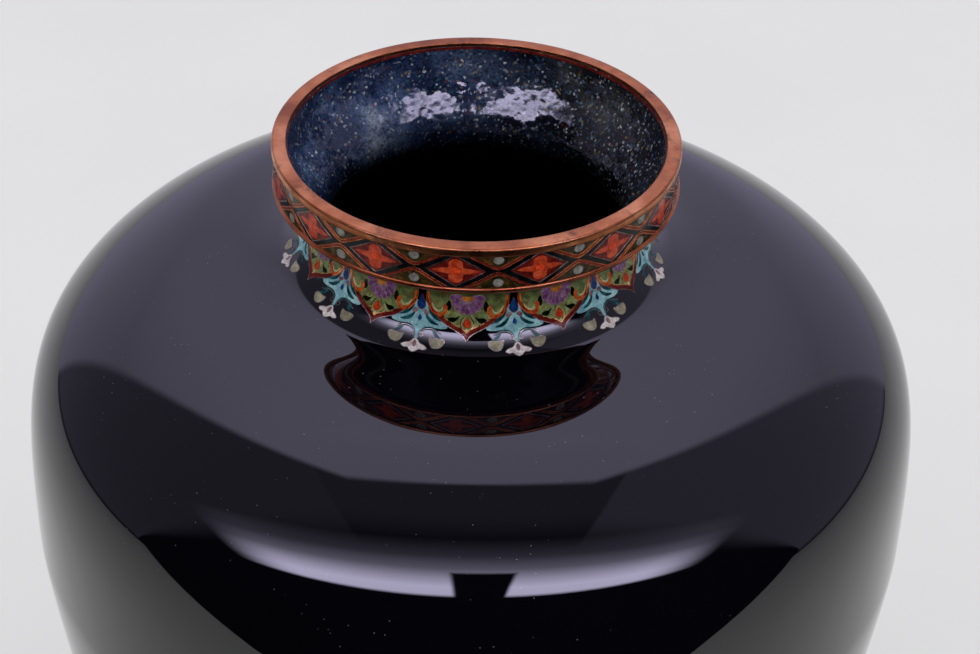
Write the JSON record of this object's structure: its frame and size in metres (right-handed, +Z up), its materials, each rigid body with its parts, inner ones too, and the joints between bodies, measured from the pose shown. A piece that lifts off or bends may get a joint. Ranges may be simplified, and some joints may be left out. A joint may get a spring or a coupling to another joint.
{
  "type": "cloisonne vase",
  "caption": "Broad-shouldered vase with a short straight neck, a dark enamel body, wired enamel bands round the neck and copper mounts at rim and foot.",
  "frame": {"origin": "centre of the foot ring's underside, on the axis of the vase", "axes": "+Z up the axis of the vase from foot to rim; the side seen from the front faces -Y; +X is to the right of it"},
  "size_m": [0.166, 0.166, 0.248],
  "materials": {
    "copper": "satin",
    "rim_copper": "satin",
    "midnight_enamel": "gloss",
    "black_enamel": "gloss",
    "counter_enamel": "gloss",
    "crimson_enamel": "gloss",
    "vermilion_enamel": "gloss",
    "orange_enamel": "gloss",
    "silver_wire": "satin",
    "copper_wire": "satin",
    "olive_enamel": "gloss",
    "lilac_enamel": "gloss",
    "sage_enamel": "gloss",
    "maroon_enamel": "gloss",
    "tawny_enamel": "gloss",
    "plum_enamel": "gloss",
    "amber_enamel": "gloss",
    "leaf_enamel": "gloss",
    "turquoise_enamel": "gloss",
    "royal_enamel": "gloss",
    "teal_enamel": "gloss",
    "white_enamel": "gloss",
    "mauve_enamel": "gloss",
    "stone_enamel": "gloss"
  },
  "bodies": {
    "root": {"copper_neck": "copper", "copper_shoulder": "copper", "copper_body": "copper", "base_disc": "copper", "foot_ring": "copper", "rim_ring": "rim_copper", "neck_bead": "rim_copper", "ground_enamel": "midnight_enamel", "collar_ground": "midnight_enamel", "band_ground": "black_enamel", "lining_neck": "counter_enamel", "lining_shoulder": "counter_enamel", "lining_body": "counter_enamel", "lining_floor": "counter_enamel", "base_enamel": "counter_enamel", "lozenge_fields": "crimson_enamel", "lozenge_flowers": "vermilion_enamel", "lappet_drops": "vermilion_enamel", "lozenge_hearts": "orange_enamel", "lozenge_wires": "silver_wire", "lappet_outer_wires": "silver_wire", "pendant_wires": "silver_wire", "lattice_wires": "copper_wire", "lappet_inner_wires": "copper_wire", "lattice_cells": "olive_enamel", "lattice_dots": "lilac_enamel", "lappet_fields": "sage_enamel", "lappet_borders": "maroon_enamel", "lappet_scrolls": "tawny_enamel", "lappet_blossoms": "plum_enamel", "lappet_hearts": "amber_enamel", "lappet_leaves": "leaf_enamel", "panel_fields": "turquoise_enamel", "panel_jewels": "royal_enamel", "pendant_stems": "teal_enamel", "pendant_trefoils": "white_enamel", "pendant_seeds": "mauve_enamel", "pendant_petals": "stone_enamel"}
  },
  "joints": []
}
